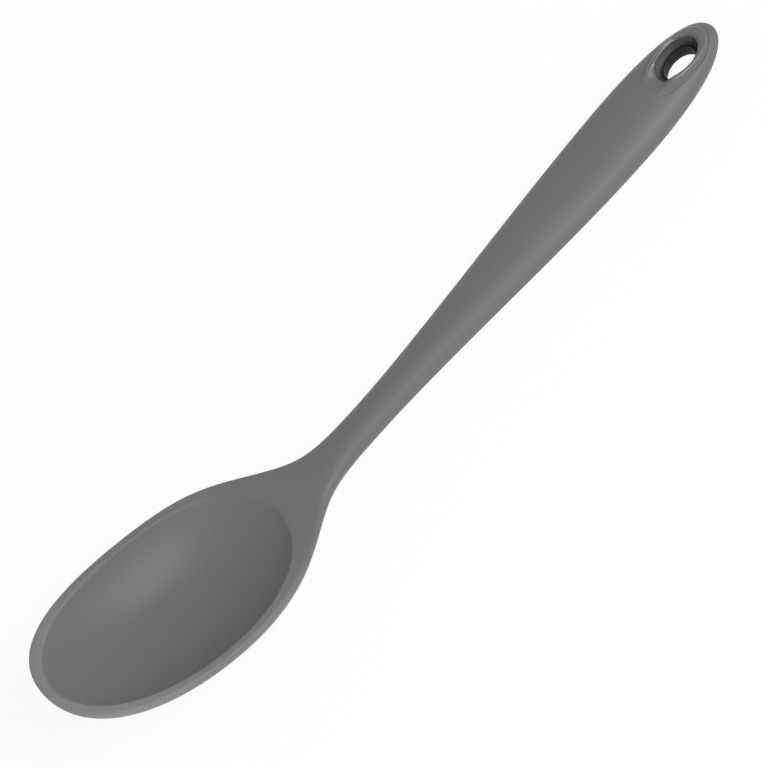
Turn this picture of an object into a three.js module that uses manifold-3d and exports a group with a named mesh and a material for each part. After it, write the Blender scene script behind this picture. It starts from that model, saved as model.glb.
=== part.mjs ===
// A silicone serving spoon: a seamless silicone skin moulded over a nylon core, with a steel strip
// moulded into the core where the neck is thinnest. Millimetres, +Z up, lying on the table.
import * as THREE from "three";
import { mergeVertices } from "three/addons/utils/BufferGeometryUtils.js";
import Module from "manifold-3d";

const wasm = await Module();
wasm.setup();

// Driving dimensions. They are taken in the drawing frame: the bowl's tip at x = 0, the handle along
// +x, and z = 0 near the rim. Each curve is a list of knots with the reach of its handles.
const LENGTH = 292.2;
const CLEARANCE = 0.3;

// Half of the outline seen from above, from the bowl's tip to the handle's end.
const OUTLINE = [
  { at: [0, 0], ahead: [0, 21.2] },
  { at: [50.7, 28.3], back: [-26.3, 0], ahead: [26.8, 0] },
  { at: [99.8, 13.05], back: [-13.4, 8.4], ahead: [9.3, -5.83] },
  { at: [131.7, 6.05], back: [-19.1, 0], ahead: [33.5, 0] },
  { at: [251.5, 12.25], back: [-38, 0], ahead: [27.9, 0] },
  { at: [LENGTH, 0], back: [0, 7.4] },
];
// Height of the parting line, which is the widest line all round the spoon.
const PARTING = [
  { at: [0, 7.9], ahead: [24, -5.2] },
  { at: [70, -0.75], back: [-24, 0], ahead: [14, 0] },
  { at: [110, 0], back: [-14, -2.24], ahead: [12, 1.92] },
  { at: [148, 8.55], back: [-13, -3.4], ahead: [50, 13.1] },
  { at: [LENGTH, 50.5], back: [-50, -17.6] },
];
// Depth of the underside below the parting line, along the middle.
const BELLY = [
  { at: [0, 0], ahead: [0, 6] },
  { at: [56, 15], back: [-34, 0], ahead: [25, 0] },
  { at: [124, 5], back: [-25, 2.2], ahead: [20, -1.5] },
  { at: [176, 4], back: [-26, 0], ahead: [46, 0] },
  { at: [272, 7.4], back: [-30, 0], ahead: [13, 0] },
  { at: [LENGTH, 0], back: [0, 6] },
];
// Height of the upper side above the parting line, along the middle: the rim, then the handle's crown.
const CROWN = [
  { at: [0, 0.95], ahead: [30, 0] },
  { at: [86, 0.95], back: [-30, 0], ahead: [16, 0] },
  { at: [132, 4.4], back: [-20, -0.3], ahead: [38, 0.6] },
  { at: [250, 6.2], back: [-40, -0.4], ahead: [26, 0.2] },
  { at: [LENGTH, 0], back: [0, 5.6] },
];
const BELLY_POWER = 2;
const CROWN_POWER = 2;
const RIM_ROUND = 2;
const SHOULDER_FROM = 92;
const SHOULDER_TO = 124;

// The bowl's hollow: half of its edge seen from above, and its depth below the rim.
const HOLLOW_FROM = 2.4;
const HOLLOW_TO = 92.8;
const HOLLOW_EDGE = [
  { at: [HOLLOW_FROM, 0], ahead: [0, 14.9] },
  { at: [50.7, 25.9], back: [-30.8, 0], ahead: [27.5, 0] },
  { at: [HOLLOW_TO, 0], back: [0, 14] },
];
const HOLLOW_DEPTH = [
  { at: [HOLLOW_FROM, 0], ahead: [12, 8.5] },
  { at: [48, 12.4], back: [-18, 0], ahead: [18, 0] },
  { at: [HOLLOW_TO, 0], back: [-10, 9] },
];
const HOLLOW_ROUND = 0.8;
const HOLLOW_ABOVE = 0.8;
const HOLLOW_LID = 6;

// The hanging eye: a low bead round its mouth that turns into a ramp at the tail, an egg-shaped throat,
// and a shorter waist in the core's plate. Levels stand square to the handle, 0 at the parting line.
const EYE_X = 277.4;
const BEAD_FOOT = { half: 7.1, nose: 11.3, tail: 17.5 };
const BEAD_CREST = { half: 5.9, nose: 9.8, tail: 15 };
const THROAT = { half: 4.7, nose: 7.5, tail: 7.6 };
const WAIST = { half: 4.5, nose: 6.25, tail: 6.35 };
const BEAD_HEIGHT = 1.6;
const BEAD_FADE = [-0.97, -0.6];
const TAIL_FROM = 0.72;
const LIP_REACH = [0.8, 0.85];
const LIP_DROP = [0.2, 0.5];
const BEAD_ROOT = 2;
const COLLAR_TOP = 2.2;
const DISH_LID = 4;
const DISH_SPREAD = 1;
const THROAT_FOOT = 1;
const WAIST_TOP = 0.8;
const THROAT_END = -3.5;
const THROAT_REACH = 5.9;
const MOUTH_ROUND = 6;

// The nylon core: half width, half thickness and drop of its middle below the parting line.
const CORE_FROM = 34;
const CORE_TO = 268;
const CORE_WIDTH = [
  { at: [CORE_FROM, 0], ahead: [0, 9] },
  { at: [54, 13], back: [-13, 0], ahead: [20, 0] },
  { at: [116, 3.2], back: [-24, 0], ahead: [24, 0] },
  { at: [250, 8.4], back: [-40, 0], ahead: [8, 0] },
  { at: [CORE_TO, 7.2], back: [-6, 0.6] },
];
const CORE_THICKNESS = [
  { at: [CORE_FROM, 0.55], ahead: [20, 0] },
  { at: [82, 0.6], back: [-20, 0], ahead: [14, 0] },
  { at: [124, 2.6], back: [-14, 0], ahead: [30, 0] },
  { at: [240, 3.3], back: [-30, 0], ahead: [10, 0] },
  { at: [CORE_TO, 1.2], back: [-10, 0.2] },
];
const CORE_DROP = [
  { at: [CORE_FROM, 12.1], ahead: [7, 0.8] },
  { at: [56, 13.2], back: [-9, 0], ahead: [15, 0] },
  { at: [96, 5.6], back: [-14, 4.4], ahead: [11, -3.4] },
  { at: [136, 0], back: [-18, 0.9], ahead: [24, -0.7] },
  { at: [200, -0.6], back: [-24, 0], ahead: [24, 0] },
  { at: [CORE_TO, 0], back: [-20, 0] },
];
const CORE_POWER = 4;
const PLATE = { half: 7, nose: 11.6, tail: 14 };
const PLATE_HALF_THICKNESS = 1.2;
const BORE_REACH = 7;
const WINDOWS = [186, 208, 230];
const WINDOW_LENGTH = 14;
const WINDOW_WIDTH = 5;

// The steel strip in the neck, and the pin holes that held it in the core's mould.
const STRIP_FROM = 112;
const STRIP_TO = 168;
const STRIP_HALF_WIDTH = 1.8;
const STRIP_HALF_THICKNESS = 0.75;
const PIN_HOLES = [118, 162];
const PIN_HOLE_RADIUS = 1;

// The small flat under the bowl's heel that the spoon lies on, and where the handle's underside starts.
const FLAT_CUT = 0.25;
const HANDLE_FROM = 168;
const TABLE_DEPTH = 10;

// How finely the shapes are cut into facets.
const BODY_STATIONS = 66;
const HOLLOW_STATIONS = 34;
const CORE_STATIONS = 40;
const STRIP_STATIONS = 9;
const BODY_SEGMENTS = 16;
const CORE_SEGMENTS = 8;
const EYE_SEGMENTS = 36;
const EYE_STEPS = 6;
const PIN_SEGMENTS = 12;
const CURVE_STEPS = 60;
const LEAN_STEPS = 200;

// A chain of Bezier curves through the knots, as points from left to right.
function curvePoints(knots) {
  const reach = (knot, side) => new THREE.Vector2(...knot.at).add(new THREE.Vector2(...knot[side]));
  return knots.slice(1).flatMap((knot, i) => {
    const from = new THREE.Vector2(...knots[i].at);
    const to = new THREE.Vector2(...knot.at);
    const curve = new THREE.CubicBezierCurve(from, reach(knots[i], "ahead"), reach(knot, "back"), to);
    return curve.getPoints(CURVE_STEPS);
  });
}

// The same chain as a height over x.
function heightOver(knots) {
  const points = curvePoints(knots);
  return (x) => {
    const next = points.findIndex((p, i) => i > 0 && p.x >= x);
    if (next < 0) return points.at(-1).y;
    const [a, b] = [points[next - 1], points[next]];
    const share = b.x > a.x ? THREE.MathUtils.clamp((x - a.x) / (b.x - a.x), 0, 1) : 1;
    return THREE.MathUtils.lerp(a.y, b.y, share);
  };
}

const halfWidth = heightOver(OUTLINE);
const parting = heightOver(PARTING);
const belly = heightOver(BELLY);
const crown = heightOver(CROWN);
const hollowEdge = heightOver(HOLLOW_EDGE);
const hollowDepth = heightOver(HOLLOW_DEPTH);
const coreWidth = heightOver(CORE_WIDTH);
const coreThickness = heightOver(CORE_THICKNESS);
const coreDrop = heightOver(CORE_DROP);
const outlinePoints = curvePoints(OUTLINE);

// Height share of a round-shouldered section, 1 in the middle and 0 at the edge.
const arch = (share, power) => Math.max(0, 1 - Math.min(1, Math.abs(share)) ** power) ** (1 / power);
const across = (x, y) => y / Math.max(halfWidth(x), 1e-6);

function distanceToOutline(x, y) {
  const point = new THREE.Vector2(x, Math.abs(y));
  return Math.min(...outlinePoints.map((p) => p.distanceTo(point)));
}

// The upper side: a rounded rim round the bowl, which becomes the handle's crown over the shoulder.
function topHeight(x, y) {
  const rim = arch(1 - Math.min(1, distanceToOutline(x, y) / RIM_ROUND), 2);
  const bar = arch(across(x, y), CROWN_POWER);
  const blend = THREE.MathUtils.smoothstep(x, SHOULDER_FROM, SHOULDER_TO);
  return parting(x) + crown(x) * THREE.MathUtils.lerp(rim, bar, blend);
}
const bottomHeight = (x, y) => parting(x) - belly(x) * arch(across(x, y), BELLY_POWER);
const coreHeight = (x, y) => parting(x) - coreDrop(x) * arch(across(x, y), BELLY_POWER);

// Stations along x that crowd together at the rounded ends.
function stations(from, to, count) {
  const even = Array.from({ length: count - 1 }, (_, i) => (i + 1) / count);
  return even.map((t) => from + (to - from) * (0.5 - 0.5 * Math.cos(Math.PI * t)));
}

// A closed solid through rings of points, each end drawn to its own point.
function loft(rings, first, last) {
  const size = rings[0].length;
  const positions = [first, ...rings.flat(), last].flatMap((p) => p.toArray());
  const end = rings.length * size + 1;
  const index = [];
  for (let k = 0; k < size; k++) {
    const n = (k + 1) % size;
    index.push(0, 1 + k, 1 + n, end, end - size + n, end - size + k);
    for (let i = 0; i + 1 < rings.length; i++) {
      const a = 1 + i * size;
      const b = a + size;
      index.push(a + k, b + k, a + n, a + n, b + k, b + n);
    }
  }
  const geometry = new THREE.BufferGeometry();
  geometry.setAttribute("position", new THREE.Float32BufferAttribute(positions, 3));
  return geometry.setIndex(index);
}
const middle = (ring) =>
  ring.reduce((sum, p) => sum.add(p), new THREE.Vector3()).divideScalar(ring.length);
const cappedLoft = (rings) => loft(rings, middle(rings[0]), middle(rings.at(-1)));

// A ring of points round a section: over the upper side from -y to +y, then back underneath.
function sectionRing(x, half, segments, upper, lower) {
  const widths = Array.from({ length: segments + 1 }, (_, j) => -half * Math.cos((Math.PI * j) / segments));
  const over = widths.map((y) => new THREE.Vector3(x, y, upper(y)));
  const under = widths.slice(1, -1).reverse().map((y) => new THREE.Vector3(x, y, lower(y)));
  return [...over, ...under];
}

function solidOf(geometry) {
  const bare = new THREE.BufferGeometry();
  bare.setAttribute("position", geometry.getAttribute("position"));
  bare.setIndex(geometry.index);
  const merged = mergeVertices(bare, 1e-4);
  const vertProperties = new Float32Array(merged.getAttribute("position").array);
  const triVerts = new Uint32Array(merged.index.array);
  return new wasm.Manifold(new wasm.Mesh({ numProp: 3, vertProperties, triVerts }));
}

function geometryOf(solid) {
  const { vertProperties, triVerts } = solid.getMesh();
  const geometry = new THREE.BufferGeometry();
  geometry.setAttribute("position", new THREE.BufferAttribute(new Float32Array(vertProperties), 3));
  geometry.setIndex(new THREE.BufferAttribute(new Uint32Array(triVerts), 1));
  geometry.computeVertexNormals();
  return geometry;
}

function bodySolid() {
  const rings = stations(0, LENGTH, BODY_STATIONS).map((x) =>
    sectionRing(x, halfWidth(x), BODY_SEGMENTS, (y) => topHeight(x, y), (y) => bottomHeight(x, y)),
  );
  const tip = new THREE.Vector3(0, 0, parting(0));
  const end = new THREE.Vector3(LENGTH, 0, parting(LENGTH));
  return solidOf(loft(rings, tip, end));
}

// What is scooped out of the bowl: its floor below, and a lid well above the rim.
function hollowSolid() {
  const rings = stations(HOLLOW_FROM, HOLLOW_TO, HOLLOW_STATIONS).map((x) => {
    const half = hollowEdge(x);
    const edge = parting(x) + crown(x) + HOLLOW_ABOVE;
    const depth = hollowDepth(x) + HOLLOW_ABOVE;
    const floor = (y) => edge - depth * (1 - (y / half) ** 2) ** HOLLOW_ROUND;
    return sectionRing(x, half, BODY_SEGMENTS, () => edge + HOLLOW_LID, floor);
  });
  return solidOf(cappedLoft(rings));
}

// The eye's own frame: its x runs up the handle and its z stands square to the handle's faces.
const eyeSlope = Math.atan((parting(EYE_X + 1) - parting(EYE_X - 1)) / 2);
const eyeMatrix = new THREE.Matrix4()
  .makeTranslation(EYE_X, 0, parting(EYE_X))
  .multiply(new THREE.Matrix4().makeRotationY(-eyeSlope));

const eyeTurns = Array.from({ length: EYE_SEGMENTS }, (_, k) => (2 * Math.PI * k) / EYE_SEGMENTS);
const eyeShares = Array.from({ length: EYE_STEPS }, (_, i) => (i + 1) / EYE_STEPS);
const grown = (ring, by) => ({ half: ring.half + by, nose: ring.nose + by, tail: ring.tail + by });

function eggPoint(ring, turn, level) {
  const reach = Math.cos(turn) > 0 ? ring.nose : ring.tail;
  return new THREE.Vector3(reach * Math.cos(turn), ring.half * Math.sin(turn), level);
}
const eggRing = (ring, level) =>
  eyeTurns.map((turn) => eggPoint(ring, turn, level).applyMatrix4(eyeMatrix));

// How much of the bead there is: all of it round the nose and none at the tail.
const beadShare = (turn) => THREE.MathUtils.smoothstep(Math.cos(turn), ...BEAD_FADE);

// A point of a ring on the handle's face, raised above it.
function facePoint(spot, by) {
  const x = EYE_X + spot.x * Math.cos(eyeSlope);
  return new THREE.Vector3(x, spot.y, topHeight(x, spot.y) + by);
}
const faceRing = (ring, by) => eyeTurns.map((turn) => facePoint(eggPoint(ring, turn, 0), by));

// A point up the bead's outer flank, a quarter round from its foot to its crest.
function beadPoint(turn, share) {
  const rise = (share * Math.PI) / 2;
  const foot = eggPoint(BEAD_FOOT, turn, 0);
  const spot = foot.lerp(eggPoint(BEAD_CREST, turn, 0), 1 - Math.cos(rise));
  return facePoint(spot, BEAD_HEIGHT * beadShare(turn) * Math.sin(rise));
}

// The block that the bead is carved from.
const collarSolid = () =>
  solidOf(cappedLoft([COLLAR_TOP, -BEAD_ROOT].map((by) => faceRing(BEAD_FOOT, by))));

// A point over the rounded lip from the bead's crest and down the wall below it to the throat. At the
// tail the lip is so long that it makes a ramp.
function mouthPoint(turn, share) {
  const tail = THREE.MathUtils.smoothstep(-Math.cos(turn), TAIL_FROM, 1);
  const bend = Math.min(2 * share, 1) * (Math.PI / 2);
  const straight = Math.max(2 * share - 1, 0);
  const reach = THREE.MathUtils.lerp(...LIP_REACH, tail) * Math.sin(bend);
  const drop = THREE.MathUtils.lerp(...LIP_DROP, tail) * (1 - Math.cos(bend));
  const from = beadPoint(turn, 1).applyMatrix4(eyeMatrix.clone().invert());
  const to = eggPoint(THROAT, turn, THROAT_FOOT);
  const spot = from.clone().lerp(to, THREE.MathUtils.lerp(reach, 1, straight));
  spot.setZ(THREE.MathUtils.lerp(from.z, to.z, THREE.MathUtils.lerp(drop, 1, straight)));
  return spot.applyMatrix4(eyeMatrix);
}

function throatRing(level) {
  const bend = Math.max(0, THROAT_END - level);
  return eggRing(grown(WAIST, MOUTH_ROUND - Math.sqrt(MOUTH_ROUND ** 2 - bend ** 2)), level);
}

// What is carved out of the collar and the handle's end: over the bead, down the throat and out below.
function throatSolid() {
  const lid = faceRing(grown(BEAD_FOOT, DISH_SPREAD), DISH_LID);
  const bead = [0, ...eyeShares].map((share) => eyeTurns.map((turn) => beadPoint(turn, share)));
  const mouth = eyeShares.map((share) => eyeTurns.map((turn) => mouthPoint(turn, share)));
  const below = [0, ...eyeShares].map((share) => throatRing(THROAT_END - share * THROAT_REACH));
  return solidOf(cappedLoft([lid, ...bead, ...mouth, throatRing(WAIST_TOP), ...below]));
}

const slab = (ring, thickness) =>
  solidOf(cappedLoft([thickness, -thickness].map((level) => eggRing(ring, level))));

function windowSolid(x, grow) {
  const radius = WINDOW_WIDTH / 2 - grow;
  const straight = WINDOW_LENGTH / 2 - WINDOW_WIDTH / 2;
  const slot = new THREE.Shape();
  slot.absarc(straight, 0, radius, -Math.PI / 2, Math.PI / 2);
  slot.absarc(-straight, 0, radius, Math.PI / 2, (3 * Math.PI) / 2);
  const depth = 4 * coreThickness(x);
  const curveSegments = PIN_SEGMENTS / 2;
  const geometry = new THREE.ExtrudeGeometry(slot, { depth, bevelEnabled: false, curveSegments });
  return solidOf(geometry.translate(0, 0, -depth / 2).rotateY(-eyeSlope).translate(x, 0, coreHeight(x, 0)));
}

function stripSolid(grow) {
  const span = STRIP_TO - STRIP_FROM + 2 * grow;
  const rings = Array.from({ length: STRIP_STATIONS }, (_, i) => {
    const x = STRIP_FROM - grow + (span * i) / (STRIP_STATIONS - 1);
    const half = STRIP_HALF_WIDTH + grow;
    const thick = STRIP_HALF_THICKNESS + grow;
    const corners = [[-half, thick], [half, thick], [half, -thick], [-half, -thick]];
    return corners.map(([y, z]) => new THREE.Vector3(x, y, coreHeight(x, 0) + z));
  });
  return solidOf(cappedLoft(rings));
}

function pinHoleSolid(x) {
  const height = 2 * coreThickness(x);
  const pin = new THREE.CylinderGeometry(PIN_HOLE_RADIUS, PIN_HOLE_RADIUS, height, PIN_SEGMENTS);
  return solidOf(pin.rotateX(Math.PI / 2).translate(x, 0, coreHeight(x, 0) + height / 2));
}

// The core without its strip, grown by a clearance for the room that the skin leaves round it.
function coreSolid(grow) {
  const rings = stations(CORE_FROM, CORE_TO, CORE_STATIONS).map((x) => {
    const place = THREE.MathUtils.mapLinear(x, CORE_FROM, CORE_TO, CORE_FROM - grow, CORE_TO + grow);
    const half = coreWidth(x) + grow;
    const thick = (y) => (coreThickness(x) + grow) * arch(y / half, CORE_POWER);
    const upper = (y) => coreHeight(place, y) + thick(y);
    const lower = (y) => coreHeight(place, y) - thick(y);
    return sectionRing(place, half, CORE_SEGMENTS, upper, lower);
  });
  const plate = slab(grown(PLATE, grow), PLATE_HALF_THICKNESS + grow);
  const bore = slab(grown(WAIST, -grow), BORE_REACH);
  const spine = solidOf(cappedLoft(rings));
  return WINDOWS.reduce((core, x) => core.subtract(windowSolid(x, grow)), spine.add(plate).subtract(bore));
}

// The lean at which the bowl's flat and the handle's end both lie on the table.
function lowest(lean, from, to) {
  const steps = Array.from({ length: LEAN_STEPS + 1 }, (_, i) => from + ((to - from) * i) / LEAN_STEPS);
  return Math.min(...steps.map((x) => bottomHeight(x, 0) * Math.cos(lean) - x * Math.sin(lean)));
}
function restLean() {
  let [low, high] = [0, Math.PI / 4];
  for (let i = 0; i < 40; i++) {
    const lean = (low + high) / 2;
    const bowlHigher = lowest(lean, 0, SHOULDER_TO) + FLAT_CUT > lowest(lean, HANDLE_FROM, LENGTH);
    [low, high] = bowlHigher ? [low, lean] : [lean, high];
  }
  return low;
}
const lean = restLean();
const table = lowest(lean, 0, SHOULDER_TO) + FLAT_CUT;

function tableSolid() {
  const box = new THREE.BoxGeometry(SHOULDER_TO, 2 * SHOULDER_FROM, TABLE_DEPTH);
  return solidOf(box.translate(SHOULDER_TO / 2, 0, table - TABLE_DEPTH / 2).rotateY(-lean));
}

const skinSolid = bodySolid()
  .add(collarSolid())
  .subtract(hollowSolid())
  .subtract(throatSolid())
  .subtract(coreSolid(CLEARANCE))
  .subtract(tableSolid());
const spineSolid = PIN_HOLES.reduce(
  (core, x) => core.subtract(pinHoleSolid(x)),
  coreSolid(0).subtract(stripSolid(CLEARANCE)),
);

const silicone = new THREE.MeshStandardMaterial({ color: 0x717274, roughness: 0.55, metalness: 0 });
const nylon = new THREE.MeshStandardMaterial({ color: 0x3a3b3d, roughness: 0.5, metalness: 0 });
const steel = new THREE.MeshStandardMaterial({ color: 0xb8bbbf, roughness: 0.35, metalness: 1 });

function piece(name, solid, material) {
  const mesh = new THREE.Mesh(geometryOf(solid), material);
  mesh.name = name;
  return mesh;
}

// The spoon leans back onto the table, and its box's bottom centre is the origin.
const spoon = new THREE.Group();
spoon.add(piece("silicone_skin", skinSolid, silicone));
spoon.add(piece("nylon_core", spineSolid, nylon));
spoon.add(piece("steel_strip", stripSolid(0), steel));
spoon.rotation.y = lean;

const part = new THREE.Group();
part.add(spoon);
const box = new THREE.Box3().setFromObject(part, true);
const centre = box.getCenter(new THREE.Vector3());
spoon.position.set(-centre.x, -centre.y, -box.min.z);

export default part;
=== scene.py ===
"""A grey silicone serving spoon lying on a white floor, seen from above the side of its bowl."""
import math
from bisect import bisect_left

import bmesh
import bpy
from mathutils import Matrix, Vector
from mathutils.kdtree import KDTree


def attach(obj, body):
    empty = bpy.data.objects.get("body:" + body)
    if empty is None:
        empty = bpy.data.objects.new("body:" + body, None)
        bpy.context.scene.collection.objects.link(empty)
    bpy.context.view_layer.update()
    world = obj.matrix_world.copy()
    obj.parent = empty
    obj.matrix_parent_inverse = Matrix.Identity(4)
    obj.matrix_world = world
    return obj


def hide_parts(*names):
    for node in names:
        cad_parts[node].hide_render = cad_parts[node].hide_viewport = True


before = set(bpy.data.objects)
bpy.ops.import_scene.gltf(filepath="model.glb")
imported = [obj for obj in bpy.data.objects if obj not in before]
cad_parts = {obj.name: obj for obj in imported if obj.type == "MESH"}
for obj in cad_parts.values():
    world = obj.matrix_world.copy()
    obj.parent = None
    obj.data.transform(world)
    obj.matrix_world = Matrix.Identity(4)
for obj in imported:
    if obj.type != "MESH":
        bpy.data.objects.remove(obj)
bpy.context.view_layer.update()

# The spoon's sizes are in millimetres in the drawing frame: the bowl's tip at x = 0, the handle along +x
# and z = 0 near the rim. REST_LEAN and SPOON_AT lay the drawing on the table.
MM = 0.001
REST_LEAN = math.radians(14.69078)
SPOON_AT = Vector((-148.7171, 0, 34.5796))
LENGTH = 292.2

# Curves are knots: a point, and the reach of its handle back and ahead.
NONE = (0, 0)
OUTLINE = [
    ((0, 0), NONE, (0, 21.2)),
    ((50.7, 28.3), (-26.3, 0), (26.8, 0)),
    ((99.8, 13.05), (-13.4, 8.4), (9.3, -5.83)),
    ((131.7, 6.05), (-19.1, 0), (33.5, 0)),
    ((251.5, 12.25), (-38, 0), (27.9, 0)),
    ((LENGTH, 0), (0, 7.4), NONE),
]
PARTING = [
    ((0, 7.9), NONE, (24, -5.2)),
    ((70, -0.75), (-24, 0), (14, 0)),
    ((110, 0), (-14, -2.24), (12, 1.92)),
    ((148, 8.55), (-13, -3.4), (50, 13.1)),
    ((LENGTH, 50.5), (-50, -17.6), NONE),
]
BELLY = [
    ((0, 0), NONE, (0, 6)),
    ((56, 15), (-34, 0), (25, 0)),
    ((124, 5), (-25, 2.2), (20, -1.5)),
    ((176, 4), (-26, 0), (46, 0)),
    ((272, 7.4), (-30, 0), (13, 0)),
    ((LENGTH, 0), (0, 6), NONE),
]
CROWN = [
    ((0, 0.95), NONE, (30, 0)),
    ((86, 0.95), (-30, 0), (16, 0)),
    ((132, 4.4), (-20, -0.3), (38, 0.6)),
    ((250, 6.2), (-40, -0.4), (26, 0.2)),
    ((LENGTH, 0), (0, 5.6), NONE),
]
BELLY_POWER = 2
CROWN_POWER = 2
RIM_ROUND = 2
SHOULDER_FROM = 92
SHOULDER_TO = 124

HOLLOW_FROM = 2.4
HOLLOW_TO = 92.8
HOLLOW_EDGE = [
    ((HOLLOW_FROM, 0), NONE, (0, 14.9)),
    ((50.7, 25.9), (-30.8, 0), (27.5, 0)),
    ((HOLLOW_TO, 0), (0, 14), NONE),
]
HOLLOW_DEPTH = [
    ((HOLLOW_FROM, 0), NONE, (12, 8.5)),
    ((48, 12.4), (-18, 0), (18, 0)),
    ((HOLLOW_TO, 0), (-10, 9), NONE),
]
HOLLOW_ROUND = 0.8
HOLLOW_ABOVE = 0.8
EDGE_ROUND = 0.5

# Painted light, as if through the thin rim: palest at the tip and no paler than the rest by the
# shoulder.
RIM_LIGHT_TIP = (8, 45)
RIM_LIGHT_SIDE = 0.3
RIM_LIGHT_END = (78, 98)
RIM_LIGHT_INSIDE = 0.018
RIM_LIGHT_UNDER = 0.1

# The hanging eye: a low bead round its mouth that turns into a ramp at the tail, an egg-shaped throat,
# and a ledge down in it to a shorter waist. A ring is half its width and its reaches to nose and tail.
EYE_X = 277.4
BEAD_FOOT = (7.1, 11.3, 17.5)
BEAD_CREST = (5.9, 9.8, 15)
THROAT = (4.6, 7.4, 7.5)
WAIST = (4.4, 6.1, 6.2)
BEAD_HEIGHT = 1.6
GROOVE = 0.4
LEDGE = 1.3
THROAT_END = -3.5
MOUTH_ROUND = 6

# Pairs for the wall of the mouth: round most of the eye, and at its tail. The fade is a span of cosines.
BEAD_FADE = (-0.97, -0.6)
TAIL_FROM = 0.72
LIP_REACH = (0.8, 0.85)
LIP_DROP = (0.2, 0.5)
SHADE_FROM = (0.14, 0.1)
SHADE_TO = (0.45, 0.5)

# Polish is 0 on the satin skin, and rises over the bead and the mouth's wall to the core in the throat.
# Above half polish the colour also takes painted shade, darkest on the mouth's wall.
BEAD_POLISH = 0.5
WALL_POLISH_AND_SHADE = 0.97
CORE_POLISH = 1
CORE_FROM = 0.999

# Where the bowl, the handle and the eye meet, and how finely each is divided.
NECK_X = 116
CUFF_X = 246
CURVE_STEPS = 400
ARC_STEPS = 24
BOWL_STEPS = 56
EYE_STEPS = 30
HANDLE_RINGS = 60
HOLLOW_MIDDLE = Vector((48, 0))
UNDER_MIDDLE = Vector((58, 0))
NECK_SHARE = 0.1
EDGE_SPREAD = 1.4
TAIL_TURN = math.radians(55)

# Shares of the way inwards from an outer line, crowded where the surface turns fastest.
RIM_SHARES = [0.012, 0.05, 0.12, 0.24, 0.4, 0.6, 0.8, 1]
SHOULDER_SHARES = [0.15, 0.35, 0.55, 0.75, 0.88, 0.95, 1]
HOLLOW_SHARES = [0.004, 0.012, 0.025, 0.045, 0.075, 0.115, 0.17, 0.24, 0.33, 0.44, 0.56, 0.7, 0.85]
UNDER_SHARES = [0.002, 0.008, 0.02, 0.04, 0.07, 0.11, 0.16, 0.22, 0.3, 0.39, 0.5, 0.62, 0.75, 0.88]
FACE_SHARES = [0.004, 0.015, 0.035, 0.07, 0.12, 0.2, 0.3, 0.42, 0.56, 0.7, 0.84, 0.93]
ROUND_SHARES = [0.14, 0.28, 0.42, 0.57, 0.72, 0.86, 1]
WALL_SHARES = [0.07, 0.14, 0.22, 0.3, 0.37, 0.44, 0.5, 0.58, 0.72, 0.88, 1]
LEDGE_STEPS = [(0.1, 0), (0.5, 0), (0.78, 0.04), (0.93, 0.16), (1, 0.4)]
THROAT_SHARES = [1, 0.96, 0.9, 0.8, 0.66, 0.5, 0.33, 0.16, 0]


def curve_points(knots):
    """Points along the chain of Bezier curves through the knots."""
    points = []
    for (start, _, ahead), (end, back, _) in zip(knots, knots[1:]):
        a, d = Vector(start), Vector(end)
        b, c = a + Vector(ahead), d + Vector(back)
        for i in range(CURVE_STEPS + 1):
            t = i / CURVE_STEPS
            s = 1 - t
            points.append(s ** 3 * a + 3 * s ** 2 * t * b + 3 * s * t * t * c + t ** 3 * d)
    return points


def height_over(knots):
    """The chain as a height over x."""
    points = curve_points(knots)
    places = [p.x for p in points]

    def height(x):
        i = min(max(bisect_left(places, x), 1), len(points) - 1)
        before, after = points[i - 1], points[i]
        if after.x <= before.x:
            return after.y
        share = min(max((x - before.x) / (after.x - before.x), 0), 1)
        return before.y + (after.y - before.y) * share

    return height


half_width = height_over(OUTLINE)
parting = height_over(PARTING)
belly = height_over(BELLY)
crown = height_over(CROWN)
hollow_edge = height_over(HOLLOW_EDGE)
hollow_depth = height_over(HOLLOW_DEPTH)
outline = curve_points(OUTLINE)
outline_tree = KDTree(len(outline))
for number, point in enumerate(outline):
    outline_tree.insert((point.x, point.y, 0), number)
outline_tree.balance()


def arch(share, power):
    """Height share of a round-shouldered section, 1 in the middle and 0 at the edge."""
    return max(0, 1 - min(1, abs(share)) ** power) ** (1 / power)


def smoothstep(x, low, high):
    t = min(max((x - low) / (high - low), 0), 1)
    return t * t * (3 - 2 * t)


def across(x, y):
    return y / max(half_width(x), 1e-6)


def distance_to_outline(x, y):
    point = Vector((x, abs(y)))
    near = outline_tree.find((point.x, point.y, 0))[1]
    distances = []
    for i in (max(near - 1, 0), min(near, len(outline) - 2)):
        start, way = outline[i], outline[i + 1] - outline[i]
        share = (point - start).dot(way) / way.length_squared if way.length_squared else 0
        distances.append((point - start - way * min(max(share, 0), 1)).length)
    return min(distances)


def top_height(x, y):
    """The upper side: a round rim round the bowl, which becomes the handle's crown over the shoulder."""
    rim = arch(1 - min(distance_to_outline(x, y) / RIM_ROUND, 1), 2)
    bar = arch(across(x, y), CROWN_POWER)
    return parting(x) + crown(x) * (rim + (bar - rim) * smoothstep(x, SHOULDER_FROM, SHOULDER_TO))


def bottom_height(x, y):
    return parting(x) - belly(x) * arch(across(x, y), BELLY_POWER)


def hollow_height(x, y):
    """The bowl's hollow, or a height far above where there is none."""
    half = hollow_edge(x)
    if not HOLLOW_FROM < x < HOLLOW_TO or abs(y) >= half:
        return LENGTH
    drop = (hollow_depth(x) + HOLLOW_ABOVE) * (1 - (y / half) ** 2) ** HOLLOW_ROUND
    return parting(x) + crown(x) + HOLLOW_ABOVE - drop


def bowl_height(x, y):
    """The lower of the rim and the hollow, with a small round where they meet."""
    rim, hollow = top_height(x, y), hollow_height(x, y)
    near = max(EDGE_ROUND - abs(rim - hollow), 0) / EDGE_ROUND
    return min(rim, hollow) - near * near * EDGE_ROUND / 4


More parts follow.
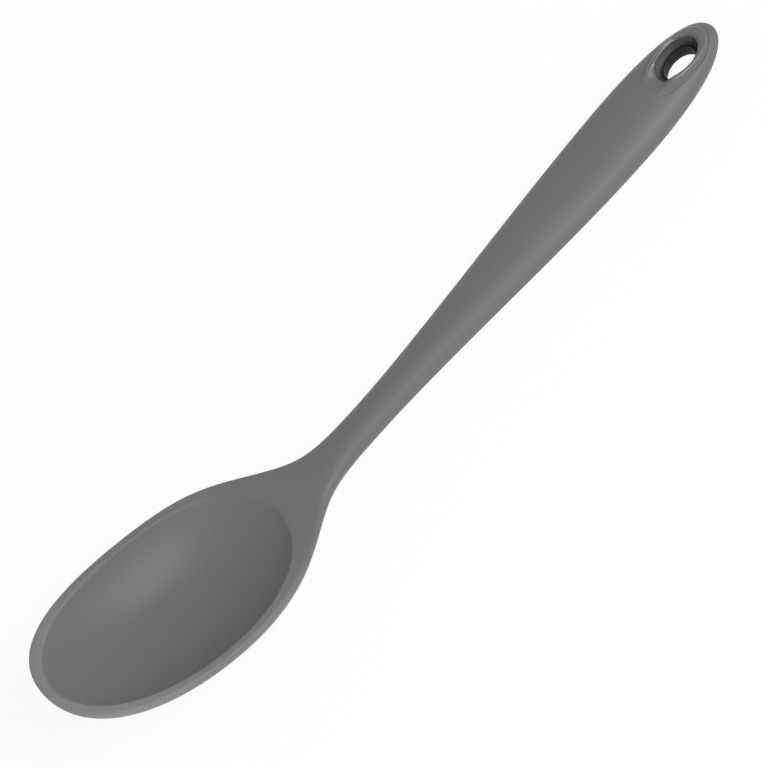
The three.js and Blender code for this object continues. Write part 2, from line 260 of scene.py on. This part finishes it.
def place(x, y, z):
    """A drawing point in metres on the table, where the heel is pressed flat."""
    point = Matrix.Rotation(REST_LEAN, 3, "Y") @ Vector((x, y, z)) + SPOON_AT
    return Vector((point.x, point.y, max(point.z, 0))) * MM


def even_points(points, count):
    """Points at even distances along a line of points, both ends included."""
    lengths = [0]
    for before, after in zip(points, points[1:]):
        lengths.append(lengths[-1] + (after - before).length)
    spread = []
    for i in range(count + 1):
        want = lengths[-1] * i / count
        k = min(max(bisect_left(lengths, want), 1), len(points) - 1)
        gap = lengths[k] - lengths[k - 1]
        share = (want - lengths[k - 1]) / gap if gap else 0
        spread.append(points[k - 1].lerp(points[k], share))
    return spread


def mirrored(point):
    return Vector((point.x, -point.y))


def section_arc(x):
    """Places across the section at x, from -y to +y."""
    half = half_width(x)
    return [Vector((x, -half * math.cos(math.pi * j / ARC_STEPS))) for j in range(ARC_STEPS + 1)]


def bowl_loop():
    """Once round the bowl seen from above: across the neck, down the +y side to the tip, and back."""
    side = even_points([p for p in outline if p.x <= NECK_X], BOWL_STEPS)
    arc = section_arc(NECK_X)
    side[-1] = arc[-1]
    return arc + side[-2::-1] + [mirrored(p) for p in side[1:-1]]


def hollow_loop():
    """The hollow's edge in step with bowl_loop: its back end faces the neck."""
    edge = even_points(curve_points(HOLLOW_EDGE), CURVE_STEPS)[::-1]

    def at(share):
        place_on = min(max(share, 0), 1) * CURVE_STEPS
        low = min(int(place_on), CURVE_STEPS - 1)
        return edge[low].lerp(edge[low + 1], place_on - low)

    loop = []
    for j in range(ARC_STEPS + 1):
        turn = 2 * j / ARC_STEPS - 1
        point = at(NECK_SHARE * abs(turn))
        loop.append(point if turn > 0 else mirrored(point))
    steps = [(i / BOWL_STEPS) ** EDGE_SPREAD for i in range(1, BOWL_STEPS + 1)]
    shares = [NECK_SHARE + (1 - NECK_SHARE) * step for step in steps]
    loop += [at(share) for share in shares]
    loop += [mirrored(at(share)) for share in shares[-2::-1]]
    return loop


def rim_crossing(edge):
    """Where the hollow's wall meets the rim on the way from the edge to the hollow's middle."""
    low, high = 0, 0.5
    for _ in range(40):
        share = (low + high) / 2
        point = edge.lerp(HOLLOW_MIDDLE, share)
        below = hollow_height(point.x, point.y) < top_height(point.x, point.y)
        low, high = (low, share) if below else (share, high)
    return edge.lerp(HOLLOW_MIDDLE, high)


def move_ring(ring, polish_and_shade=None, painted_rim_light=None):
    """Puts the selected loop of vertices on a ring of points, by the spoke that each vertex is on.

    Each vertex also takes how polished it is, which also sets painted shade, and how much painted rim
    light it has.
    """
    data = bpy.context.object.data
    mesh = bmesh.from_edit_mesh(data)
    spoke = mesh.verts.layers.int["spoke"]
    gloss = mesh.verts.layers.float["polish_and_shade"]
    light = mesh.verts.layers.float["painted_rim_light"]
    for vertex in mesh.verts:
        if vertex.select:
            vertex.co = ring[vertex[spoke]]
            vertex[gloss] = polish_and_shade[vertex[spoke]] if polish_and_shade else 0
            vertex[light] = painted_rim_light[vertex[spoke]] if painted_rim_light else 0
    bmesh.update_edit_mesh(data)


def start_ring(name, ring, painted_rim_light=None):
    """A circle with one vertex for each point of the ring, left in edit mode."""
    bpy.ops.object.select_all(action="DESELECT")
    bpy.ops.mesh.primitive_circle_add(vertices=len(ring), radius=LENGTH * MM)
    piece = bpy.context.object
    piece.name = name
    bpy.ops.object.mode_set(mode="EDIT")
    bpy.ops.mesh.select_all(action="SELECT")
    mesh = bmesh.from_edit_mesh(piece.data)
    mesh.verts.layers.int.new("spoke")
    mesh.verts.layers.float.new("polish_and_shade")
    mesh.verts.layers.float.new("painted_rim_light")
    spoke = mesh.verts.layers.int["spoke"]
    for number, vertex in enumerate(mesh.verts):
        vertex[spoke] = number
    bmesh.update_edit_mesh(piece.data)
    move_ring(ring, painted_rim_light=painted_rim_light)
    return piece


def extrude_ring(ring, polish_and_shade=None, painted_rim_light=None):
    bpy.ops.mesh.extrude_edges_move()
    move_ring(ring, polish_and_shade, painted_rim_light)


def surface(points, height):
    return [place(p.x, p.y, height(p.x, p.y)) for p in points]


def painted_rim_light_levels(rim, share):
    """How much painted rim light each point has that belongs to a point of the rim, all of it at share
    1.
    """
    levels = []
    for point in rim:
        side = RIM_LIGHT_SIDE + (1 - RIM_LIGHT_SIDE) * (1 - smoothstep(point.x, *RIM_LIGHT_TIP))
        levels.append(max(share, 0) * side * (1 - smoothstep(point.x, *RIM_LIGHT_END)))
    return levels


def bowl_upper_side():
    """The rim, the shoulder and the hollow, drawn in from the outline to the hollow's middle."""
    outer = bowl_loop()
    crossings = [rim_crossing(edge) for edge in hollow_loop()]
    turns = [o.lerp(c, min(RIM_ROUND / (c - o).length, 0.8)) for o, c in zip(outer, crossings)]
    piece = start_ring("bowl_upper_side", surface(outer, top_height), painted_rim_light_levels(outer, 1))
    for start, end, shares in ((outer, turns, RIM_SHARES), (turns, crossings, SHOULDER_SHARES)):
        for share in shares:
            points = [a.lerp(b, share) for a, b in zip(start, end)]
            extrude_ring(surface(points, bowl_height), painted_rim_light=painted_rim_light_levels(outer, 1))
    for share in HOLLOW_SHARES:
        points = [crossing.lerp(HOLLOW_MIDDLE, share) for crossing in crossings]
        extrude_ring(surface(points, bowl_height), painted_rim_light=painted_rim_light_levels(outer, 1 - share / RIM_LIGHT_INSIDE))
    bpy.ops.mesh.merge(type="CENTER")
    bpy.ops.object.mode_set(mode="OBJECT")
    return piece


def bowl_underside():
    outer = bowl_loop()
    piece = start_ring("bowl_underside", surface(outer, bottom_height), painted_rim_light_levels(outer, 1))
    for share in UNDER_SHARES:
        points = [p.lerp(UNDER_MIDDLE, share) for p in outer]
        extrude_ring(surface(points, bottom_height), painted_rim_light=painted_rim_light_levels(outer, 1 - share / RIM_LIGHT_UNDER))
    bpy.ops.mesh.merge(type="CENTER")
    bpy.ops.object.mode_set(mode="OBJECT")
    return piece


def handle():
    """Sections from the neck to the cuff in front of the eye."""
    rings = []
    for i in range(HANDLE_RINGS + 1):
        arc = section_arc(NECK_X + (CUFF_X - NECK_X) * i / HANDLE_RINGS)
        rings.append(surface(arc, top_height) + surface(arc[-2:0:-1], bottom_height))
    piece = start_ring("handle", rings[0])
    for ring in rings[1:]:
        extrude_ring(ring)
    bpy.ops.object.mode_set(mode="OBJECT")
    return piece


def eye_loop():
    """Once round the handle's end seen from above: across the cuff, up the +y side, and back."""
    side = even_points([p for p in outline if p.x >= CUFF_X], EYE_STEPS)
    arc = section_arc(CUFF_X)
    side[0] = arc[-1]
    return arc + side[1:] + [mirrored(p) for p in side[-2:0:-1]]


def eye_turns():
    """The angle round the eye of each point of eye_loop, 0 towards the handle's end."""
    tail = [math.pi + TAIL_TURN * (1 - 2 * j / ARC_STEPS) for j in range(ARC_STEPS + 1)]
    sweep = math.pi - TAIL_TURN
    return tail + [sweep * (1 - i / EYE_STEPS) for i in range(1, 2 * EYE_STEPS)]


EYE_SLOPE = math.atan((parting(EYE_X + 1) - parting(EYE_X - 1)) / 2)


def egg(ring, turn):
    """A point of an egg-shaped ring, along the handle and across it."""
    half, nose, tail = ring
    return (nose if math.cos(turn) > 0 else tail) * math.cos(turn), half * math.sin(turn)


def from_eye(along, y, level):
    """A drawing point from the eye's own frame, whose levels stand square to the handle."""
    x = EYE_X + along * math.cos(EYE_SLOPE) - level * math.sin(EYE_SLOPE)
    return Vector((x, y, parting(EYE_X) + along * math.sin(EYE_SLOPE) + level * math.cos(EYE_SLOPE)))


def to_eye(point):
    x, z = point.x - EYE_X, point.z - parting(EYE_X)
    along = x * math.cos(EYE_SLOPE) + z * math.sin(EYE_SLOPE)
    return along, point.y, z * math.cos(EYE_SLOPE) - x * math.sin(EYE_SLOPE)


def on_face(ring, turn):
    along, y = egg(ring, turn)
    return Vector((EYE_X + along * math.cos(EYE_SLOPE), y))


def fade(turn):
    """How much of the bead there is: all of it round the nose and none at the tail."""
    return smoothstep(math.cos(turn), *BEAD_FADE)


def bead_point(turn, share):
    """A point up the bead's outer flank, a quarter round from its foot to its crest."""
    rise = share * math.pi / 2
    spot = on_face(BEAD_FOOT, turn).lerp(on_face(BEAD_CREST, turn), 1 - math.cos(rise))
    return Vector((*spot, top_height(*spot) + BEAD_HEIGHT * fade(turn) * math.sin(rise)))


def towards_tail(turn, ends):
    """A value that is the first of two ends round most of the eye, and the second at its tail."""
    return ends[0] + (ends[1] - ends[0]) * smoothstep(-math.cos(turn), TAIL_FROM, 1)


def mouth_point(turn, share):
    """A point over the rounded lip from the bead's crest and down the wall below it to the ledge."""
    bend, straight = min(2 * share, 1) * math.pi / 2, max(2 * share - 1, 0)
    inwards = towards_tail(turn, LIP_REACH) * math.sin(bend)
    drop = towards_tail(turn, LIP_DROP) * (1 - math.cos(bend))
    inwards += (1 - inwards) * straight
    drop += (1 - drop) * straight
    along, y, level = to_eye(bead_point(turn, 1))
    throat_along, throat_y = egg(THROAT, turn)
    along += (throat_along - along) * inwards
    y += (throat_y - y) * inwards
    return from_eye(along, y, level + (LEDGE - level) * drop)


def wall_shade(turn, share):
    """How much painted shade darkens the mouth's wall: none at the crest, and all of it by the lower
    edge of the lip.
    """
    return smoothstep(share, towards_tail(turn, SHADE_FROM), towards_tail(turn, SHADE_TO))


def ledge_point(turn, share, drop):
    """A point in across the ledge from the throat to the waist, and down its rounded edge."""
    return from_eye(*Vector(egg(THROAT, turn)).lerp(Vector(egg(WAIST, turn)), share), LEDGE - drop)


def throat_point(turn, level):
    """A point below the ledge, straight at first and rounded outwards below."""
    bend = max(0, THROAT_END - level)
    flare = MOUTH_ROUND - math.sqrt(max(MOUTH_ROUND ** 2 - bend ** 2, 0))
    return from_eye(*egg([size + flare for size in WAIST], turn), level)


def lower_lip(turn):
    """The level at which the throat comes out of the underside."""
    low, high = THROAT_END - MOUTH_ROUND, 0
    for _ in range(40):
        level = (low + high) / 2
        point = throat_point(turn, level)
        low, high = (low, level) if point.z > bottom_height(point.x, point.y) else (level, high)
    return high


def eye_upper_face():
    """The upper face of the handle's end, in from the outline, over the bead and down to mid throat."""
    outer, turns = eye_loop(), eye_turns()
    feet = [on_face(BEAD_FOOT, turn) for turn in turns]
    piece = start_ring("eye_upper_face", surface(outer, top_height))
    for share in FACE_SHARES:
        extrude_ring(surface([o.lerp(foot, share) for o, foot in zip(outer, feet)], top_height))
    grooves = [top_height(*foot) - GROOVE * fade(turn) for foot, turn in zip(feet, turns)]
    extrude_ring([place(*foot, groove) for foot, groove in zip(feet, grooves)])
    gloss = [BEAD_POLISH * fade(turn) for turn in turns]
    core = [CORE_POLISH] * len(turns)
    for share in ROUND_SHARES:
        extrude_ring([place(*bead_point(turn, share)) for turn in turns], gloss)
    for share in WALL_SHARES:
        # Down the wall, polish rises and with it the painted shade.
        deeper = [g + (WALL_POLISH_AND_SHADE - g) * wall_shade(turn, share) for g, turn in zip(gloss, turns)]
        extrude_ring([place(*mouth_point(turn, share)) for turn in turns], deeper)
    for share, drop in LEDGE_STEPS:
        extrude_ring([place(*ledge_point(turn, share, drop)) for turn in turns], core)
    for level in (LEDGE / 2, 0):
        extrude_ring([place(*throat_point(turn, level)) for turn in turns], core)
    bpy.ops.object.mode_set(mode="OBJECT")
    return piece


def eye_lower_face():
    """The lower face of the handle's end, in from the outline and up to mid throat."""
    outer, turns = eye_loop(), eye_turns()
    levels = [lower_lip(turn) for turn in turns]
    lips = [throat_point(turn, level).to_2d() for turn, level in zip(turns, levels)]
    piece = start_ring("eye_lower_face", surface(outer, bottom_height))
    for share in FACE_SHARES:
        extrude_ring(surface([o.lerp(lip, share) for o, lip in zip(outer, lips)], bottom_height))
    for share in THROAT_SHARES:
        wall = [throat_point(turn, level * share) for turn, level in zip(turns, levels)]
        extrude_ring([place(*point) for point in wall], [CORE_POLISH] * len(turns))
    bpy.ops.object.mode_set(mode="OBJECT")
    return piece


def silicone_skin():
    """The whole outside of the spoon, one seamless moulding."""
    sides = [bowl_upper_side(), bowl_underside(), handle(), eye_upper_face(), eye_lower_face()]
    bpy.ops.object.select_all(action="DESELECT")
    for side in sides:
        side.select_set(True)
    bpy.context.view_layer.objects.active = sides[0]
    bpy.ops.object.join()
    skin = bpy.context.object
    skin.name = "spoon_skin"
    bpy.ops.object.mode_set(mode="EDIT")
    bpy.ops.mesh.select_all(action="SELECT")
    bpy.ops.mesh.remove_doubles(threshold=0.005 * MM)
    bpy.ops.mesh.normals_make_consistent(inside=False)
    bpy.ops.object.mode_set(mode="OBJECT")
    bpy.ops.object.transform_apply(location=True, rotation=True, scale=True)
    skin.data.materials.clear()
    skin.data.materials.append(silicone())
    skin.data.materials.append(throat_core_and_shade())
    polish_and_shade = skin.data.attributes["polish_and_shade"].data
    for face in skin.data.polygons:
        face.material_index = int(min(polish_and_shade[vertex].value for vertex in face.vertices) > CORE_FROM)
    smooth = skin.modifiers.new("smooth", "SUBSURF")
    smooth.levels = smooth.render_levels = 1
    bpy.ops.object.modifier_apply(modifier=smooth.name)
    bpy.ops.object.shade_smooth()
    return skin


def new_material(name):
    material = bpy.data.materials.new(name)
    material.use_nodes = True
    nodes, links = material.node_tree.nodes, material.node_tree.links
    return material, nodes, links, nodes["Principled BSDF"]


def object_noise(nodes, links, scale, detail):
    """Noise that stays fixed to the piece."""
    place_on = nodes.new("ShaderNodeTexCoord")
    noise = nodes.new("ShaderNodeTexNoise")
    noise.inputs["Scale"].default_value = scale
    noise.inputs["Detail"].default_value = detail
    links.new(place_on.outputs["Object"], noise.inputs["Vector"])
    return noise.outputs["Fac"]


# The places of a mix node's colour sockets: share, low and high, and the result.
COLOUR_INPUTS = (0, 6, 7)
COLOUR_OUTPUT = 2


def spread(nodes, links, value, low, high):
    """A 0 to 1 value stretched to run from low to high."""
    stretch = nodes.new("ShaderNodeMapRange")
    stretch.inputs["To Min"].default_value = low
    stretch.inputs["To Max"].default_value = high
    links.new(value, stretch.inputs["Value"])
    return stretch.outputs["Result"]


def blend_numbers(nodes, links, share, low, high):
    mix = nodes.new("ShaderNodeMix")
    links.new(share, mix.inputs["Factor"])
    links.new(low, mix.inputs["A"])
    mix.inputs["B"].default_value = high
    return mix.outputs["Result"]


def blend_colours(nodes, links, share, low, high):
    """A colour between two. The low one is a colour or another blend."""
    mix = nodes.new("ShaderNodeMix")
    mix.data_type = "RGBA"
    share_in, low_in, high_in = (mix.inputs[number] for number in COLOUR_INPUTS)
    links.new(share, share_in)
    if isinstance(low, tuple):
        low_in.default_value = low
    else:
        links.new(low, low_in)
    high_in.default_value = high
    return mix.outputs[COLOUR_OUTPUT]


def add_bump(nodes, links, shader, height, distance, strength):
    bump = nodes.new("ShaderNodeBump")
    bump.inputs["Distance"].default_value = distance
    bump.inputs["Strength"].default_value = strength
    links.new(height, bump.inputs["Height"])
    links.new(bump.outputs["Normal"], shader.inputs["Normal"])


# Finishes: colours run from dark to light, and noise scales are in waves per metre.
SILICONE_LIGHT = (0.160, 0.163, 0.169, 1)
SILICONE_DARK = (0.149, 0.152, 0.158, 1)
# Painted light: the paler colour that the bowl's rim takes.
PAINTED_RIM_LIGHT_COLOUR = (0.226, 0.226, 0.226, 1)
# Painted shade: the dark colour of the mouth's wall in the eye.
SHADED = (0.06, 0.06, 0.062, 1)
SATIN_ROUGHNESS = (0.42, 0.52)
BEAD_ROUGHNESS = 0.13
SILICONE_IOR = 1.42
CLOUD_SCALE = 28
GRAIN_SCALE = 1400
GRAIN_HEIGHT = 0.02 * MM
GRAIN_STRENGTH = 0.25
EVEN_GRAIN = 0.5
# The core in the eye's throat is darker than the core's own nylon: painted shade of the deep throat.
CORE_AND_SHADE_DARK = (0.014, 0.014, 0.015, 1)
CORE_AND_SHADE_LIGHT = (0.022, 0.022, 0.023, 1)
CORE_ROUGHNESS = (0.4, 0.5)
CORE_SPECULAR = 0.06
NYLON_DARK = (0.035, 0.036, 0.038, 1)
NYLON_LIGHT = (0.05, 0.051, 0.054, 1)
NYLON_ROUGHNESS = (0.45, 0.6)
SPECK_SCALE = 900
SPECK_HEIGHT = 0.03 * MM
SPECK_STRENGTH = 0.3
STEEL_DARK = (0.5, 0.51, 0.53, 1)
STEEL_LIGHT = (0.62, 0.63, 0.65, 1)
STEEL_ROUGHNESS = (0.28, 0.42)
LINE_SCALE = 2500

# How much gloss and painted shade there is at no polish, half polish and full polish.
BEAD_SHARES = (0, 1, 0.3)
SHADE_SHARES = (0, 0, 1)


def ramp_over(nodes, links, value, stops):
    """A share that runs through the stops at 0, a half and 1 of the value."""
    ramp = nodes.new("ShaderNodeValToRGB")
    ramp.color_ramp.elements.new(0.5)
    for stop, level in zip(ramp.color_ramp.elements, stops):
        stop.color = (level, level, level, 1)
    links.new(value, ramp.inputs["Fac"])
    return ramp.outputs["Color"]


def silicone():
    """Satin grey silicone with a fine grain, polished on the eye's bead; painted light makes the bowl's
    rim paler.
    """
    material, nodes, links, shader = new_material("satin_silicone")
    polish_and_shade, painted_rim_light = nodes.new("ShaderNodeAttribute"), nodes.new("ShaderNodeAttribute")
    polish_and_shade.attribute_name, painted_rim_light.attribute_name = "polish_and_shade", "painted_rim_light"
    cloud = object_noise(nodes, links, CLOUD_SCALE, 3)
    grain = object_noise(nodes, links, GRAIN_SCALE, 2)
    matte = blend_colours(nodes, links, cloud, SILICONE_DARK, SILICONE_LIGHT)
    # Painted light: the rim's colour is made paler.
    rim = blend_colours(nodes, links, painted_rim_light.outputs["Fac"], matte, PAINTED_RIM_LIGHT_COLOUR)
    # Painted shade: high polish darkens the colour on the mouth's wall.
    shade = ramp_over(nodes, links, polish_and_shade.outputs["Fac"], SHADE_SHARES)
    links.new(blend_colours(nodes, links, shade, rim, SHADED), shader.inputs["Base Color"])
    satin = spread(nodes, links, grain, *SATIN_ROUGHNESS)
    gloss = ramp_over(nodes, links, polish_and_shade.outputs["Fac"], BEAD_SHARES)
    links.new(blend_numbers(nodes, links, gloss, satin, BEAD_ROUGHNESS), shader.inputs["Roughness"])
    shader.inputs["IOR"].default_value = SILICONE_IOR
    calm = blend_numbers(nodes, links, gloss, grain, EVEN_GRAIN)
    add_bump(nodes, links, shader, calm, GRAIN_HEIGHT, GRAIN_STRENGTH)
    return material


def throat_core_and_shade():
    """The core's matt black nylon where it shows below the ledge in the eye; its black is partly painted
    shade of the deep throat.
    """
    material, nodes, links, shader = new_material("throat_core_and_shade")
    speck = object_noise(nodes, links, SPECK_SCALE, 4)
    links.new(blend_colours(nodes, links, speck, CORE_AND_SHADE_DARK, CORE_AND_SHADE_LIGHT), shader.inputs["Base Color"])
    links.new(spread(nodes, links, speck, *CORE_ROUGHNESS), shader.inputs["Roughness"])
    shader.inputs["Specular IOR Level"].default_value = CORE_SPECULAR
    return material


def nylon():
    """Dark moulded nylon, speckled by its glass filling."""
    material, nodes, links, shader = new_material("filled_nylon")
    speck = object_noise(nodes, links, SPECK_SCALE, 4)
    links.new(blend_colours(nodes, links, speck, NYLON_DARK, NYLON_LIGHT), shader.inputs["Base Color"])
    links.new(spread(nodes, links, speck, *NYLON_ROUGHNESS), shader.inputs["Roughness"])
    add_bump(nodes, links, shader, speck, SPECK_HEIGHT, SPECK_STRENGTH)
    return material


def steel():
    """Plain rolled steel strip with fine lines along it."""
    material, nodes, links, shader = new_material("rolled_steel")
    lines = object_noise(nodes, links, LINE_SCALE, 2)
    shader.inputs["Metallic"].default_value = 1
    links.new(blend_colours(nodes, links, lines, STEEL_DARK, STEEL_LIGHT), shader.inputs["Base Color"])
    links.new(spread(nodes, links, lines, *STEEL_ROUGHNESS), shader.inputs["Roughness"])
    return material


# The camera stands where the photograph was taken from. Its place is given in the drawing frame, and the
# point that it looks at also in pixels of the picture.
LOOK_AT = Vector((147.2, 0, 10))
CAMERA_AZIMUTH = math.radians(-32.66)
CAMERA_ELEVATION = math.radians(57.12)
CAMERA_ROLL = math.radians(-12.927)
CAMERA_DISTANCE = 798.97
PIXELS = 768
PIXELS_PER_MM = 3.182
LOOK_AT_PIXEL = (399.29, 381.72)
SENSOR = 36


def camera_axes():
    """Right, up and back of the camera on the table."""
    az, el, roll = CAMERA_AZIMUTH, CAMERA_ELEVATION, CAMERA_ROLL
    back = Vector((math.sin(az) * math.cos(el), -math.cos(az) * math.cos(el), math.sin(el)))
    right = Vector((math.cos(az), math.sin(az), 0))
    up = back.cross(right)
    turned = right * math.cos(roll) + up * math.sin(roll)
    rest = Matrix.Rotation(REST_LEAN, 3, "Y")
    return rest @ turned, rest @ back.cross(turned), rest @ back


def add_camera():
    right, up, back = camera_axes()
    bpy.ops.object.camera_add()
    camera = bpy.context.object
    spot = place(*LOOK_AT) + back * CAMERA_DISTANCE * MM
    camera.matrix_world = Matrix.Translation(spot) @ Matrix((right, up, back)).transposed().to_4x4()
    camera.data.sensor_width = SENSOR
    camera.data.lens = PIXELS_PER_MM * CAMERA_DISTANCE * SENSOR / PIXELS
    camera.data.shift_x = (PIXELS / 2 - LOOK_AT_PIXEL[0]) / PIXELS
    camera.data.shift_y = (LOOK_AT_PIXEL[1] - PIXELS / 2) / PIXELS
    bpy.context.scene.camera = camera


def seen_share(nodes, links):
    """1 for what the camera sees, also in gloss and through glass, and 0 for light on the spoon."""
    path = nodes.new("ShaderNodeLightPath")
    total = path.outputs["Is Camera Ray"]
    for name in ("Is Glossy Ray", "Is Transmission Ray"):
        either = nodes.new("ShaderNodeMath")
        either.operation = "MAXIMUM"
        links.new(total, either.inputs[0])
        links.new(path.outputs[name], either.inputs[1])
        total = either.outputs[0]
    return total


FLOOR_SIZE = 12
FLOOR_COLOUR = (0.9, 0.9, 0.9, 1)
FLOOR_ROUGHNESS = 0.9
FLOOR_GLOW = 0.88
FLOOR_WHITE = 1.03


def add_floor():
    """A white floor that keeps a faint shadow."""
    bpy.ops.object.select_all(action="DESELECT")
    bpy.ops.mesh.primitive_plane_add(size=FLOOR_SIZE)
    floor = bpy.context.object
    floor.name = "floor"
    material, nodes, links, shader = new_material("white_floor")
    shader.inputs["Base Color"].default_value = FLOOR_COLOUR
    shader.inputs["Roughness"].default_value = FLOOR_ROUGHNESS
    shader.inputs["Specular IOR Level"].default_value = 0
    glow = nodes.new("ShaderNodeEmission")
    glow.inputs["Strength"].default_value = FLOOR_WHITE
    mix = nodes.new("ShaderNodeMixShader")
    amount = nodes.new("ShaderNodeMath")
    amount.operation = "MULTIPLY"
    amount.inputs[1].default_value = FLOOR_GLOW
    links.new(seen_share(nodes, links), amount.inputs[0])
    links.new(amount.outputs[0], mix.inputs["Fac"])
    links.new(shader.outputs[0], mix.inputs[1])
    links.new(glow.outputs[0], mix.inputs[2])
    links.new(mix.outputs[0], nodes["Material Output"].inputs["Surface"])
    floor.data.materials.append(material)


HORIZON_LIGHT = 1
ZENITH_LIGHT = 0.08

# Each lamp stands at a place in metres, and has a side in metres and a power in watts.
LAMPS = [
    ("softbox_right", (0.42, -0.52, 0.88), 0.5, 5.9),
    ("softbox_near", (-0.25, -0.3, 0.15), 0.2, 0.21),
    ("softbox_tip", (-0.99, 0, 0.47), 0.7, 1),
]


def add_world():
    """A soft white room, brightest near the floor and plain white where it is seen."""
    world = bpy.data.worlds.new("studio")
    world.use_nodes = True
    nodes, links = world.node_tree.nodes, world.node_tree.links
    way = nodes.new("ShaderNodeTexCoord")
    split = nodes.new("ShaderNodeSeparateXYZ")
    links.new(way.outputs["Generated"], split.inputs["Vector"])
    room = spread(nodes, links, split.outputs["Z"], HORIZON_LIGHT, ZENITH_LIGHT)
    strength = blend_numbers(nodes, links, seen_share(nodes, links), room, 1)
    links.new(strength, nodes["Background"].inputs["Strength"])
    nodes["Background"].inputs["Color"].default_value = (1, 1, 1, 1)
    bpy.context.scene.world = world


def add_lamp(name, spot, size, power):
    """A square soft lamp that faces the middle of the spoon."""
    bpy.ops.object.light_add(type="AREA", location=spot)
    lamp = bpy.context.object
    lamp.name = name
    lamp.rotation_euler = Vector(spot).to_track_quat("Z", "Y").to_euler()
    lamp.data.size = size
    lamp.data.energy = power


def build():
    skin = silicone_skin()
    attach(skin, "root")
    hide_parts("silicone_skin")
    for node, finish in (("nylon_core", nylon()), ("steel_strip", steel())):
        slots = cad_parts[node].data.materials
        slots.clear()
        slots.append(finish)
    add_floor()
    add_world()
    for lamp in LAMPS:
        add_lamp(*lamp)
    add_camera()
    bpy.context.scene.view_settings.view_transform = "Standard"


build()
